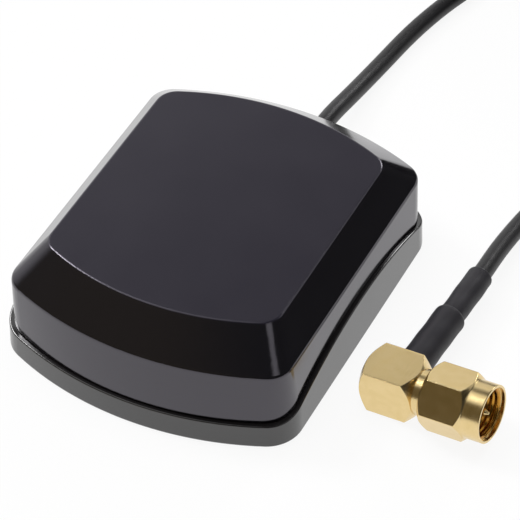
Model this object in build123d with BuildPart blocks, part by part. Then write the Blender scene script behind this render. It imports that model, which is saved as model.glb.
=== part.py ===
from build123d import *

import os
from math import cos, pi, radians, sin, sqrt, tan

# Navigation antenna for a vehicle roof: a black moulded case with a magnet in its underside,
# three metres of thin coaxial cable, and a right-angle coaxial plug with a swivelling nut.
# Millimetres, +Z up. The case stands on Z = 0 with its middle at the origin. Its long side
# runs along Y, the cable leaves at +Y, and the plug lies on the ground at the +X side.

# Case, seen from above: straight long sides and ends that bow outwards.
case_width = 42.0
case_length = 52.8
case_height = 16.0
end_bow = 5.2
foot_corner_radius = 5.0
foot_rounding = 0.3

# The seam between base and cover is level round the ends and arches up along both sides.
seam_height = 3.65
arch_height = 7.5
arch_half_span = 21.0
arch_blend_radius = 8.0
seam_gap = 0.22
ledge_rounding = 0.2
skirt_draft = 0.2
side_ledge = 0.38
end_ledge = 0.42

# Cover: nearly upright walls, then a long slope up to the flat top.
shoulder_height = 11.6
shoulder_side_draft = 0.47
shoulder_end_draft = 0.53
shoulder_bow = 4.6
shoulder_corner_radius = 3.5
shoulder_rounding = 0.7
side_slope_run = 3.45
end_slope_run = 5.15
top_bow = 3.9
top_corner_radius = 3.0
top_rounding = 0.35

# Walls.
cover_wall = 1.4
roof_thickness = 1.6
floor_thickness = 1.8
rim_thickness = 0.9
rim_rise = 1.2
rim_clearance = 0.1

# Magnet, glued into a pocket from below.
magnet_diameter = 20.0
magnet_thickness = 3.0
magnet_recess = 0.15
magnet_clearance = 0.1
magnet_edge = 0.3
pocket_roof = 1.0
pocket_wall = 1.5

# Self-tapping screws from below into bosses of the cover.
screw_side_inset = 6.5
screw_end_inset = 5.7
screw_length = 7.0
screw_diameter = 1.9
screw_point = 0.9
screw_point_inset = 0.6
screw_clearance = 0.2
screw_head_diameter = 3.6
screw_head_height = 1.3
screw_head_bevel = 0.45
screw_head_slope = 0.3
screw_head_recess = 0.3
head_clearance = 0.2
drive_width = 0.55
drive_length = 2.0
drive_depth = 0.7
screw_pad_thickness = 3.0
boss_diameter = 4.4
boss_gap = 0.05
pilot_clearance = 0.05
pilot_spare_depth = 1.0

# Receiver board with the ceramic patch on top and the amplifier below.
board_width = 26.0
board_thickness = 1.0
board_clearance = 0.3
board_corner_radius = 0.8
patch_thickness = 4.0
patch_margin = 0.5
patch_edge = 0.5
foam_margin = 3.5
post_diameter = 3.0
post_inset = 1.8
pip_diameter = 1.0
pip_height = 0.7
pip_clearance = 0.1
feed_y = -2.0
feed_pin_diameter = 0.9
feed_head_diameter = 2.2
feed_head_thickness = 0.25
feed_stub = 0.5
feed_clearance = 0.1
can_side_margin = 4.0
can_end_margin = 5.0
can_height = 1.9
can_clearance = 0.35
can_wall = 0.25
can_corner_radius = 0.6
chip_width = 2.2
chip_length = 1.4
chip_height = 0.9
chip_x = -5.6
chip_end_gap = 4.3
filter_size = 3.0
filter_height = 1.1
filter_x = 5.6
filter_end_gap = 3.0
capacitor_length = 1.0
capacitor_width = 0.5
capacitor_height = 0.5
capacitor_pitch_x = 2.2
capacitor_pitch_y = 1.9
capacitor_columns = 4
capacitor_rows = 2
capacitor_end_gap = 1.6

# Cable and the rubber grommet that it leaves the case through.
cable_diameter = 2.6
core_diameter = 1.5
conductor_diameter = 0.5
grommet_diameter = 3.8
grommet_flange_diameter = 4.8
grommet_flange_thickness = 1.2
grommet_edge = 0.3
cable_stub_inside = 2.2
core_bend_radius = 2.5
core_start_run = 1.4
core_rise_run = 3.4
core_end_run = 3.75
ground_gap = 0.05

# Right-angle plug with the open end towards +X. It lies on the back edge of its elbow and on
# its nut, which is the thicker, so its mouth points slightly up.
leg_x = 30.1
plug_y = -8.3
plug_yaw = 4.0
plug_tilt = 6.5
elbow_behind_leg = 4.25
elbow_length = 7.45
elbow_side = 6.4
elbow_turned_end = 1.07
elbow_rear_turned_end = 0.8
elbow_end_cone = 0.2
elbow_end_diameter = 5.4
neck_length = 1.2
neck_diameter = 6.0
neck_gap = 0.1
spindle_diameter = 5.5
chamber_diameter = 4.1
cap_diameter = 4.6
cap_thickness = 0.6
nut_across_flats = 8.0
nut_length = 8.7
hex_length = 6.2
hex_turned_end = 0.8
hex_front_diameter = 7.6
nut_mouth_rounding = 0.2
nut_flange_thickness = 1.2
nut_running_clearance = 0.05
nut_relief_diameter = 6.9
nut_relief_length = 1.1
thread_diameter = 6.1
thread_mouth_chamfer = 0.3
snap_ring_thickness = 0.5
snap_ring_diameter = 6.5
snap_ring_groove_diameter = 5.0
snap_ring_groove_length = 0.7
snap_ring_gap = 1.0
seal_thickness = 0.8
seal_diameter = 5.9
face_recess = 3.6
insulator_length = 6.9
pin_diameter = 0.92
pin_body_diameter = 1.27
pin_rear_overhang = 0.95
pin_reach = 2.3
pin_point = 0.5
pin_tip_diameter = 0.36

# Cable leg of the plug, with a crimped ferrule and two lengths of shrunk sleeve.
spigot_diameter = 2.5
spigot_bore = 1.6
spigot_length = 4.6
bare_wire_margin = 0.8
ferrule_diameter = 3.8
ferrule_bore = 2.7
ferrule_length = 9.8
wide_sleeve_diameter = 4.3
wide_sleeve_length = 10.7
narrow_sleeve_diameter = 3.3
narrow_sleeve_length = 8.8
sleeve_edge = 0.35
narrow_sleeve_edge = 0.17
sleeve_clearance = 0.05
sleeve_side_tilt = 2.6
sleeve_down_tilt = 2.2

# The spare cable lies in a round coil behind the case, held by a tie.
coil_x = 26.0
coil_y = 95.0
coil_diameters_across = 12.0
turns_across = 5
turns_high = 6
coil_rounding = 2.0
coil_entry_reach = 18.0
coil_exit_angle = -10.0
coil_exit_reach = 12.0
first_free_run = 7.5
tie_width = 8.0
tie_thickness = 0.7
tie_squeeze = 1.0

pick_tolerance = 0.1

half_width = case_width / 2
half_length = case_length / 2
cable_radius = cable_diameter / 2
lay_height = cable_radius + ground_gap

# Outlines of the case: half width, half length at the middle, bow of the ends, corner radius.
foot_outline = (half_width, half_length, end_bow, foot_corner_radius)
skirt_outline = (half_width - skirt_draft, half_length - skirt_draft, end_bow, foot_corner_radius)
cover_foot_outline = (
    skirt_outline[0] - side_ledge,
    skirt_outline[1] - end_ledge,
    end_bow,
    foot_corner_radius,
)
shoulder_outline = (
    cover_foot_outline[0] - shoulder_side_draft,
    cover_foot_outline[1] - shoulder_end_draft,
    shoulder_bow,
    shoulder_corner_radius,
)
top_outline = (
    shoulder_outline[0] - side_slope_run,
    shoulder_outline[1] - end_slope_run,
    top_bow,
    top_corner_radius,
)


def bowed_outline(half_w, half_l, bow, radius):
    """Face with straight long sides, ends that are shallow arcs, and rounded corners."""
    corner_y = half_l - bow
    with BuildSketch() as outline:
        with BuildLine():
            ThreePointArc((-half_w, corner_y), (0, half_l), (half_w, corner_y))
            Line((half_w, corner_y), (half_w, -corner_y))
            ThreePointArc((half_w, -corner_y), (0, -half_l), (-half_w, -corner_y))
            Line((-half_w, -corner_y), (-half_w, corner_y))
        make_face()
        fillet(outline.vertices(), radius)
    return outline.sketch


def inset(outline, wall):
    """The outline moved inwards by a wall, with its end arcs kept concentric."""
    half_w, half_l, bow, radius = outline
    end_radius = (half_w**2 + bow**2) / (2 * bow) - wall
    inner_w = half_w - wall
    inner_bow = end_radius - sqrt(end_radius**2 - inner_w**2)
    return (inner_w, half_l - wall, inner_bow, max(radius - wall, wall / 2))


def drafted_block(*levels):
    """Solid with straight flanks through outlines given as (height, outline)."""
    with BuildPart() as block:
        for height, outline in levels:
            with BuildSketch(Plane.XY.offset(height)):
                add(bowed_outline(*outline))
        loft(ruled=True)
    return block.part


def below_seam(rise):
    """All of the space under the arched seam, with the seam lifted by rise."""
    reach = case_length
    level = seam_height + rise
    with BuildPart() as space:
        with BuildSketch(Plane.YZ) as side_view:
            with BuildLine():
                ThreePointArc((-arch_half_span, level), (0, arch_height + rise), (arch_half_span, level))
                Polyline(
                    (arch_half_span, level),
                    (reach, level),
                    (reach, -reach),
                    (-reach, -reach),
                    (-reach, level),
                    (-arch_half_span, level),
                )
            make_face()
            springings = side_view.vertices().filter_by(
                lambda v: abs(abs(v.X) - arch_half_span) < pick_tolerance and v.Y > 0
            )
            fillet(springings, arch_blend_radius)
        extrude(amount=case_width, both=True)
    return space.part


def turned(side, points):
    """Solid turned about the plane's X axis from points of (place along it, radius)."""
    with BuildPart() as solid:
        with BuildSketch(side):
            with BuildLine():
                Polyline(*points, close=True)
            make_face()
        revolve(axis=Axis(side.origin, side.x_dir))
    return solid.part


# Base: a shallow tray. A skirt stands outside the cover and a rim stands inside it.
pocket_depth = magnet_recess + magnet_thickness
screw_x = half_width - screw_side_inset
screw_y = half_length - end_bow - screw_end_inset
head_seat = screw_head_recess + screw_head_height
board_length = 2 * (screw_y - boss_diameter / 2 - board_clearance)
board_underside = pocket_depth + pocket_roof + can_clearance + can_height
post_spacing_x = board_width - 2 * post_inset
post_spacing_y = board_length - 2 * post_inset
rim_outline = inset(cover_foot_outline, cover_wall + rim_clearance)
rim_top_outline = inset(shoulder_outline, cover_wall + rim_clearance)
cavity_outline = inset(shoulder_outline, cover_wall + rim_clearance + rim_thickness)
exit_height = floor_thickness + grommet_flange_diameter / 2
exit_side = Plane(origin=(0, 0, exit_height), x_dir=(0, 1, 0), z_dir=(1, 0, 0))
exit_hole = turned(
    exit_side,
    [(0, 0), (0, grommet_diameter / 2), (case_length, grommet_diameter / 2), (case_length, 0)],
)

with BuildPart() as rim:
    add(drafted_block((seam_height, rim_outline), (shoulder_height, rim_top_outline)))
    add(below_seam(rim_rise), mode=Mode.INTERSECT)

with BuildPart() as base:
    add(drafted_block((0, foot_outline), (arch_height + seam_gap, skirt_outline)))
    add(below_seam(0), mode=Mode.INTERSECT)
    ledge_edges = base.edges().filter_by(
        lambda e: e.center().Z > seam_height - pick_tolerance and e.length > foot_corner_radius / 2
    )
    fillet(ledge_edges, ledge_rounding)
    fillet(base.faces().sort_by(Axis.Z)[0].edges(), foot_rounding)
    add(rim.part)
    with BuildSketch(Plane.XY.offset(floor_thickness)):
        add(bowed_outline(*cavity_outline))
    extrude(amount=case_height, mode=Mode.SUBTRACT)
    # Raised ring over the magnet, pads round the screws and posts under the board.
    with BuildSketch(Plane.XY.offset(floor_thickness)):
        Circle(magnet_diameter / 2 + magnet_clearance + pocket_wall)
    extrude(amount=pocket_depth + pocket_roof - floor_thickness)
    with BuildSketch(Plane.XY.offset(floor_thickness)):
        with GridLocations(2 * screw_x, 2 * screw_y, 2, 2):
            Circle(boss_diameter / 2)
    extrude(amount=screw_pad_thickness - floor_thickness)
    with BuildSketch(Plane.XY.offset(floor_thickness)):
        with GridLocations(post_spacing_x, post_spacing_y, 2, 2):
            Circle(post_diameter / 2)
    extrude(amount=board_underside - floor_thickness)
    with BuildSketch(Plane.XY.offset(board_underside)):
        with GridLocations(post_spacing_x, post_spacing_y, 2, 2):
            Circle(pip_diameter / 2)
    extrude(amount=pip_height)
    # Magnet pocket and screw holes from below.
    with BuildSketch(Plane.XY):
        Circle(magnet_diameter / 2 + magnet_clearance)
    extrude(amount=pocket_depth, mode=Mode.SUBTRACT)
    with BuildSketch(Plane.XY):
        with GridLocations(2 * screw_x, 2 * screw_y, 2, 2):
            Circle(screw_head_diameter / 2 + head_clearance)
    extrude(amount=head_seat, mode=Mode.SUBTRACT)
    with BuildSketch(Plane.XY):
        with GridLocations(2 * screw_x, 2 * screw_y, 2, 2):
            Circle(screw_diameter / 2 + screw_clearance)
    extrude(amount=screw_pad_thickness, mode=Mode.SUBTRACT)
    add(exit_hole, mode=Mode.SUBTRACT)
base.part.label = "base"

# Cover: one moulded shell with four screw bosses hanging from its roof.
boss_foot = screw_pad_thickness + boss_gap
boss_top = case_height - roof_thickness
pilot_depth = head_seat + screw_length + pilot_spare_depth - boss_foot

with BuildPart() as cover_hollow:
    add(
        drafted_block(
            (seam_height, inset(cover_foot_outline, cover_wall)),
            (shoulder_height, inset(shoulder_outline, cover_wall)),
            (boss_top, inset(top_outline, cover_wall / 2)),
        )
    )

with BuildPart() as cover:
    add(
        drafted_block(
            (seam_height, cover_foot_outline),
            (shoulder_height, shoulder_outline),
            (case_height, top_outline),
        )
    )
    top_edges = cover.edges().group_by(Axis.Z)[-1]
    fillet(top_edges, top_rounding)
    shoulder_edges = cover.edges().filter_by(
        lambda e: abs(e.center().Z - shoulder_height) < pick_tolerance
        and e.bounding_box().size.Z < pick_tolerance
    )
    fillet(shoulder_edges, shoulder_rounding)
    add(below_seam(seam_gap), mode=Mode.SUBTRACT)
    add(cover_hollow.part, mode=Mode.SUBTRACT)
    with BuildSketch(Plane.XY.offset(boss_foot)):
        with GridLocations(2 * screw_x, 2 * screw_y, 2, 2):
            Circle(boss_diameter / 2)
    extrude(amount=boss_top - boss_foot)
    with BuildSketch(Plane.XY.offset(boss_foot)):
        with GridLocations(2 * screw_x, 2 * screw_y, 2, 2):
            Circle(screw_diameter / 2 + pilot_clearance)
    extrude(amount=pilot_depth, mode=Mode.SUBTRACT)
    add(exit_hole, mode=Mode.SUBTRACT)
cover.part.label = "cover"

with BuildPart() as magnet:
    with BuildSketch(Plane.XY.offset(magnet_recess)):
        Circle(magnet_diameter / 2)
    extrude(amount=magnet_thickness)
    chamfer(magnet.edges().filter_by(GeomType.CIRCLE), magnet_edge)
magnet.part.label = "magnet"

# Pan-head screws with a cross recess. Their threads are left out.
with BuildPart() as base_screws:
    with BuildSketch(Plane.XY.offset(screw_head_recess)):
        with GridLocations(2 * screw_x, 2 * screw_y, 2, 2):
            Circle(screw_head_diameter / 2)
    extrude(amount=screw_head_height)
    chamfer(base_screws.edges().group_by(Axis.Z)[0], screw_head_slope, screw_head_bevel)
    with BuildSketch(Plane.XY.offset(head_seat)):
        with GridLocations(2 * screw_x, 2 * screw_y, 2, 2):
            Circle(screw_diameter / 2)
    extrude(amount=screw_length)
    chamfer(base_screws.edges().group_by(Axis.Z)[-1], screw_point, screw_point_inset)
    with BuildSketch(Plane.XY.offset(screw_head_recess)):
        with GridLocations(2 * screw_x, 2 * screw_y, 2, 2):
            Rectangle(drive_length, drive_width)
            Rectangle(drive_width, drive_length)
    extrude(amount=drive_depth, mode=Mode.SUBTRACT)
base_screws.part.label = "base_screws"

# Board, resting on the posts and located by their pips.
board_top = board_underside + board_thickness
patch_top = board_top + patch_thickness
patch_width = board_width - 2 * patch_margin
patch_length = board_length - 2 * patch_margin

with BuildPart() as circuit_board:
    with BuildSketch(Plane.XY.offset(board_underside)):
        RectangleRounded(board_width, board_length, board_corner_radius)
        with GridLocations(post_spacing_x, post_spacing_y, 2, 2):
            Circle(pip_diameter / 2 + pip_clearance, mode=Mode.SUBTRACT)
        with Locations((0, feed_y)):
            Circle(feed_pin_diameter / 2 + feed_clearance, mode=Mode.SUBTRACT)
    extrude(amount=board_thickness)
circuit_board.part.label = "circuit_board"

with BuildPart() as ceramic_patch:
    with BuildSketch(Plane.XY.offset(board_top)):
        Rectangle(patch_width, patch_length)
        with Locations((0, feed_y)):
            Circle(feed_pin_diameter / 2 + feed_clearance, mode=Mode.SUBTRACT)
    extrude(amount=patch_thickness)
    chamfer(ceramic_patch.edges().filter_by(Axis.Z), patch_edge)
ceramic_patch.part.label = "ceramic_patch"

feed_side = Plane(origin=(0, feed_y, 0), x_dir=(0, 0, 1), z_dir=(0, 1, 0))
with BuildPart() as feed_pin:
    add(
        turned(
            feed_side,
            [
                (board_underside - feed_stub, 0),
                (board_underside - feed_stub, feed_pin_diameter / 2),
                (patch_top, feed_pin_diameter / 2),
                (patch_top, feed_head_diameter / 2),
                (patch_top + feed_head_thickness, feed_head_diameter / 2),
                (patch_top + feed_head_thickness, 0),
            ],
        )
    )
feed_pin.part.label = "feed_pin"

# Foam that fills the room between the patch and the roof, with a hole over the feed pin.
with BuildPart() as foam_pad:
    with BuildSketch(Plane.XY.offset(patch_top)):
        Rectangle(patch_width - 2 * foam_margin, patch_length - 2 * foam_margin)
        with Locations((0, feed_y)):
            Circle(feed_head_diameter / 2 + feed_clearance, mode=Mode.SUBTRACT)
    extrude(amount=boss_top - patch_top)
foam_pad.part.label = "foam_pad"

# Tinned can over the amplifier, open towards the board.
can_width = board_width - 2 * can_side_margin
can_length = board_length - 2 * can_end_margin
chip_y = can_length / 2 - chip_end_gap - chip_length / 2
filter_y = can_length / 2 - filter_end_gap - filter_size / 2
capacitor_y = capacitor_end_gap + (capacitor_rows * capacitor_pitch_y - can_length) / 2
with BuildPart() as shield_can:
    with BuildSketch(Plane.XY.offset(board_underside - can_height)):
        RectangleRounded(can_width, can_length, can_corner_radius)
    extrude(amount=can_height)
    with BuildSketch(Plane.XY.offset(board_underside - can_height + can_wall)):
        RectangleRounded(
            can_width - 2 * can_wall, can_length - 2 * can_wall, can_corner_radius - can_wall
        )
    extrude(amount=can_height, mode=Mode.SUBTRACT)
shield_can.part.label = "shield_can"

with BuildPart() as amplifier_chip:
    with BuildSketch(Plane.XY.offset(board_underside - chip_height)):
        with Locations((chip_x, chip_y)):
            Rectangle(chip_width, chip_length)
    extrude(amount=chip_height)
amplifier_chip.part.label = "amplifier_chip"

with BuildPart() as band_filter:
    with BuildSketch(Plane.XY.offset(board_underside - filter_height)):
        with Locations((filter_x, filter_y)):
            Rectangle(filter_size, filter_size)
    extrude(amount=filter_height)
band_filter.part.label = "band_filter"

with BuildPart() as chip_capacitors:
    with BuildSketch(Plane.XY.offset(board_underside - capacitor_height)):
        with Locations((0, capacitor_y)):
            with GridLocations(
                capacitor_pitch_x, capacitor_pitch_y, capacitor_columns, capacitor_rows
            ):
                Rectangle(capacitor_length, capacitor_width)
    extrude(amount=capacitor_height)
chip_capacitors.part.label = "chip_capacitors"

# Grommet: its flange sits inside the wall and its nose shows outside.
wall_inside_y = cavity_outline[1]
flange_y = wall_inside_y - grommet_flange_thickness

with BuildPart() as cable_grommet:
    add(
        turned(
            exit_side,
            [
                (flange_y, cable_radius),
                (flange_y, grommet_flange_diameter / 2),
                (wall_inside_y - ground_gap, grommet_flange_diameter / 2),
                (wall_inside_y - ground_gap, grommet_diameter / 2),
                (half_length - grommet_edge, grommet_diameter / 2),
                (half_length, grommet_diameter / 2 - grommet_edge),
                (half_length, cable_radius),
            ],
        )
    )
cable_grommet.part.label = "cable_grommet"

# Inner end of the cable: jacket through the grommet, then the bare core up to the board.
jacket_end_y = flange_y - cable_stub_inside
core_height = board_underside - core_diameter / 2
core_rise_start_y = jacket_end_y - core_start_run
core_rise_end_y = core_rise_start_y - core_rise_run
core_end_y = core_rise_end_y - core_end_run

with BuildPart() as cable_tail:
    with BuildLine(Plane.YZ) as core_path:
        FilletPolyline(
            (jacket_end_y, exit_height),
            (core_rise_start_y, exit_height),
            (core_rise_end_y, core_height),
            (core_end_y, core_height),
            radius=core_bend_radius,
        )
    with BuildSketch(Plane(core_path.line @ 0, z_dir=core_path.line % 0)):
        Circle(core_diameter / 2)
    sweep(path=core_path.line)
    with BuildSketch(Plane(origin=(0, jacket_end_y, exit_height), z_dir=(0, 1, 0))):
        Circle(cable_radius)
    extrude(amount=half_length - jacket_end_y)
cable_tail.part.label = "cable_tail"

# Plug: places along its axis, counted from the axis of its cable leg.
elbow_rear = -elbow_behind_leg
elbow_front = elbow_rear + elbow_length
nut_rear = elbow_front + neck_length + neck_gap
nut_front = nut_rear + nut_length
flange_front = nut_rear + nut_flange_thickness
relief_front = flange_front + nut_relief_length
face_x = nut_front - face_recess
ring_x = flange_front + (snap_ring_groove_length - snap_ring_thickness)
seal_x = relief_front + (snap_ring_groove_length - snap_ring_thickness)
insulator_rear = face_x - insulator_length
pin_rear = -pin_rear_overhang

# Places along the leg, counted from the plug's axis.
elbow_face = elbow_side / 2
spigot_end = elbow_face + spigot_length
ferrule_end = elbow_face + ferrule_length
wide_sleeve_end = elbow_face + wide_sleeve_length

# The plug turns about its leg until the elbow's back edge or the nut touches the ground.
yaw = radians(plug_yaw)
tilt = radians(plug_tilt)
height_on_elbow = -elbow_rear * sin(tilt) + elbow_side / 2 * cos(tilt)
height_on_nut = -nut_rear * sin(tilt) + nut_across_flats / 2 * cos(tilt)
plug_z = max(height_on_elbow, height_on_nut) + ground_gap
plug_middle = Vector(leg_x, plug_y, plug_z)
plug_axis = Vector(cos(tilt) * cos(yaw), -cos(tilt) * sin(yaw), sin(tilt))
leg_axis = Vector(sin(yaw), cos(yaw), 0)
plug_side = Plane(origin=plug_middle, x_dir=plug_axis, z_dir=-leg_axis)
plug_end = Plane(origin=plug_middle, x_dir=leg_axis, z_dir=plug_axis)
leg_side = Plane(origin=plug_middle, x_dir=leg_axis, z_dir=Vector(cos(yaw), -sin(yaw), 0))
leg_end = Plane(origin=plug_middle, x_dir=plug_axis, z_dir=leg_axis)

# Elbow: a square bar with both ends turned, a spindle in front and a spigot at its side.
corner_radius = elbow_side / sqrt(2)
turned_bar = turned(
    plug_side,
    [
        (elbow_rear - elbow_end_cone, 0),
        (elbow_rear - elbow_end_cone, elbow_end_diameter / 2),
        (elbow_rear, elbow_side / 2),
        (elbow_rear + elbow_rear_turned_end, corner_radius),
        (elbow_front - elbow_turned_end, corner_radius),
        (elbow_front, elbow_side / 2),
        (elbow_front, 0),
    ],
)
spindle = turned(
    plug_side,
    [
        (elbow_front, 0),
        (elbow_front, neck_diameter / 2),
        (elbow_front + neck_length, neck_diameter / 2),
        (elbow_front + neck_length, spindle_diameter / 2),
        (flange_front, spindle_diameter / 2),
        (flange_front, snap_ring_groove_diameter / 2),
        (flange_front + snap_ring_groove_length, snap_ring_groove_diameter / 2),
        (flange_front + snap_ring_groove_length, spindle_diameter / 2),
        (face_x, spindle_diameter / 2),
        (face_x, 0),
    ],
)

with BuildPart() as elbow_body:
    with BuildSketch(plug_end.offset(elbow_rear - elbow_end_cone)):
        Rectangle(elbow_side, elbow_side)
    extrude(amount=elbow_length + elbow_end_cone)
    add(turned_bar, mode=Mode.INTERSECT)
    add(spindle)
    with BuildSketch(leg_end.offset(elbow_face)):
        Circle(spigot_diameter / 2)
    extrude(amount=spigot_length)
    with BuildSketch(plug_end.offset(elbow_rear - elbow_end_cone)):
        Circle(cap_diameter / 2)
    extrude(amount=cap_thickness, mode=Mode.SUBTRACT)
    with BuildSketch(plug_end.offset(elbow_rear - elbow_end_cone)):
        Circle(chamber_diameter / 2)
    extrude(amount=face_x - elbow_rear + elbow_end_cone, mode=Mode.SUBTRACT)
    with BuildSketch(leg_end):
        Circle(spigot_bore / 2)
    extrude(amount=spigot_end, mode=Mode.SUBTRACT)
elbow_body.part.label = "elbow_body"

with BuildPart() as elbow_cap:
    with BuildSketch(plug_end.offset(elbow_rear - elbow_end_cone)):
        Circle(cap_diameter / 2)
    extrude(amount=cap_thickness)
elbow_cap.part.label = "elbow_cap"

with BuildPart() as insulator:
    with BuildSketch(plug_end.offset(insulator_rear)):
        Circle(chamber_diameter / 2)
        Circle(pin_body_diameter / 2, mode=Mode.SUBTRACT)
    extrude(amount=insulator_length)
insulator.part.label = "insulator"

with BuildPart() as centre_pin:
    add(
        turned(
            plug_side,
            [
                (pin_rear, 0),
                (pin_rear, pin_body_diameter / 2),
                (face_x, pin_body_diameter / 2),
                (face_x, pin_diameter / 2),
                (face_x + pin_reach - pin_point, pin_diameter / 2),
                (face_x + pin_reach, pin_tip_diameter / 2),
                (face_x + pin_reach, 0),
            ],
        )
    )
centre_pin.part.label = "centre_pin"

with BuildPart() as snap_ring:
    with BuildSketch(plug_end.offset(ring_x)):
        Circle(snap_ring_diameter / 2)
        Circle(snap_ring_groove_diameter / 2, mode=Mode.SUBTRACT)
        with Locations((snap_ring_diameter / 2, 0)):
            Rectangle(snap_ring_diameter, snap_ring_gap, mode=Mode.SUBTRACT)
    extrude(amount=snap_ring_thickness)
snap_ring.part.label = "snap_ring"

with BuildPart() as face_seal:
    with BuildSketch(plug_end.offset(seal_x)):
        Circle(seal_diameter / 2)
        Circle(spindle_diameter / 2, mode=Mode.SUBTRACT)
    extrude(amount=seal_thickness)
face_seal.part.label = "face_seal"

# Coupling nut: hexagon with turned ends, then a round nose. Its thread is left out.
hex_corner = nut_across_flats / sqrt(3)
hex_turning = turned(
    plug_side,
    [
        (nut_rear, 0),
        (nut_rear, nut_across_flats / 2 - nut_mouth_rounding),
        (nut_rear + hex_turned_end, hex_corner),
        (nut_rear + hex_length - hex_turned_end, hex_corner),
        (nut_rear + hex_length, hex_front_diameter / 2),
        (nut_rear + hex_length, 0),
    ],
)
nut_bore = turned(
    plug_side,
    [
        (nut_rear, 0),
        (nut_rear, spindle_diameter / 2 + nut_running_clearance),
        (flange_front, spindle_diameter / 2 + nut_running_clearance),
        (flange_front, nut_relief_diameter / 2),
        (relief_front, nut_relief_diameter / 2),
        (relief_front, thread_diameter / 2),
        (nut_front - thread_mouth_chamfer, thread_diameter / 2),
        (nut_front, thread_diameter / 2 + thread_mouth_chamfer),
        (nut_front, 0),
    ],
)

with BuildPart() as coupling_nut:
    with BuildSketch(plug_end.offset(nut_rear)):
        RegularPolygon(nut_across_flats / 2, 6, major_radius=False)
    extrude(amount=hex_length)
    add(hex_turning, mode=Mode.INTERSECT)
    with BuildSketch(plug_end.offset(nut_rear + hex_length)):
        Circle(hex_front_diameter / 2)
    extrude(amount=nut_length - hex_length)
    nut_mouth = coupling_nut.faces().sort_by(Axis(plug_middle, plug_axis))[-1]
    fillet(nut_mouth.edges(), nut_mouth_rounding)
    add(nut_bore, mode=Mode.SUBTRACT)
coupling_nut.part.label = "coupling_nut"

# Ferrule and sleeves on the cable leg.
with BuildPart() as crimp_ferrule:
    with BuildSketch(leg_end.offset(elbow_face)):
        Circle(ferrule_diameter / 2)
        Circle(ferrule_bore / 2, mode=Mode.SUBTRACT)
    extrude(amount=ferrule_length)
crimp_ferrule.part.label = "crimp_ferrule"

with BuildPart() as wide_sleeve:
    add(
        turned(
            leg_side,
            [
                (elbow_face, ferrule_diameter / 2),
                (elbow_face, wide_sleeve_diameter / 2),
                (wide_sleeve_end - sleeve_edge, wide_sleeve_diameter / 2),
                (wide_sleeve_end, wide_sleeve_diameter / 2 - sleeve_edge),
                (wide_sleeve_end, narrow_sleeve_diameter / 2 + sleeve_clearance),
                (ferrule_end + sleeve_clearance, narrow_sleeve_diameter / 2 + sleeve_clearance),
                (ferrule_end, ferrule_diameter / 2),
            ],
        )
    )
wide_sleeve.part.label = "wide_sleeve"

# The narrow sleeve follows the cable, which starts to sag and swing outwards here.
sleeve_direction = Vector(
    sin(radians(sleeve_side_tilt)), cos(radians(sleeve_side_tilt)), -tan(radians(sleeve_down_tilt))
).normalized()
narrow_sleeve_start = plug_middle + leg_axis * wide_sleeve_end
narrow_sleeve_end = narrow_sleeve_start + sleeve_direction * narrow_sleeve_length

with BuildPart() as narrow_sleeve:
    with BuildSketch(Plane(origin=narrow_sleeve_start, z_dir=sleeve_direction)):
        Circle(narrow_sleeve_diameter / 2)
        Circle(cable_radius, mode=Mode.SUBTRACT)
    extrude(amount=narrow_sleeve_length)
    chamfer(narrow_sleeve.faces().sort_by(Axis.Y)[-1].outer_wire().edges(), narrow_sleeve_edge)
narrow_sleeve.part.label = "narrow_sleeve"

# Core of the cable inside the plug: insulation in the spigot, bare wire up to the pin.
core_tip = pin_body_diameter / 2
with BuildPart() as plug_core:
    add(
        turned(
            leg_side,
            [
                (core_tip, 0),
                (core_tip, conductor_diameter / 2),
                (elbow_face - bare_wire_margin, conductor_diameter / 2),
                (elbow_face - bare_wire_margin, core_diameter / 2),
                (spigot_end, core_diameter / 2),
                (spigot_end, 0),
            ],
        )
    )
plug_core.part.label = "plug_core"

# Coil: one ring that holds all the turns, with the two ends of the cable leaving it.
coil_mean_radius = coil_diameters_across * cable_diameter / 2
coil_inner_radius = coil_mean_radius - turns_across * cable_radius
outer_turn_radius = coil_mean_radius + (turns_across - 1) * cable_radius
last_turn_radius = outer_turn_radius + cable_diameter
coil_outer_radius = last_turn_radius + cable_radius
coil_height = turns_high * cable_diameter
coil_section_width = coil_outer_radius - coil_inner_radius
entry_end = Vector(coil_x - outer_turn_radius, coil_y - coil_entry_reach, lay_height)
exit_direction = Vector(sin(radians(coil_exit_angle)), -cos(radians(coil_exit_angle)), 0)
exit_tangent = Vector(
    coil_x + last_turn_radius * cos(radians(coil_exit_angle)),
    coil_y + last_turn_radius * sin(radians(coil_exit_angle)),
    lay_height,
)
exit_end = exit_tangent + exit_direction * coil_exit_reach
coil_section_radius = (coil_inner_radius + coil_outer_radius) / 2
tie_hole_width = coil_section_width - 2 * tie_squeeze
tie_hole_height = coil_height - 2 * tie_thickness
tie_plane = Plane(
    origin=(coil_x - tie_width / 2, coil_y + coil_section_radius, coil_height / 2),
    x_dir=(0, 1, 0),
    z_dir=(1, 0, 0),
)

with BuildPart() as cable_coil:
    with BuildSketch(Plane(origin=(coil_x, coil_y, 0), x_dir=(1, 0, 0), z_dir=(0, -1, 0))):
        with Locations((coil_section_radius, coil_height / 2)):
            RectangleRounded(coil_section_width, coil_height, coil_rounding)
    revolve(axis=Axis((coil_x, coil_y, 0), (0, 0, 1)))
    with BuildSketch(tie_plane):
        Rectangle(2 * coil_section_width, 2 * coil_height)
        Rectangle(tie_hole_width, tie_hole_height, mode=Mode.SUBTRACT)
    extrude(amount=tie_width, mode=Mode.SUBTRACT)
    with BuildSketch(Plane(origin=entry_end, z_dir=(0, 1, 0))):
        Circle(cable_radius)
    extrude(amount=coil_entry_reach)
    with BuildSketch(Plane(origin=exit_tangent, z_dir=exit_direction)):
        Circle(cable_radius)
    extrude(amount=coil_exit_reach)
cable_coil.part.label = "cable_coil"

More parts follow.
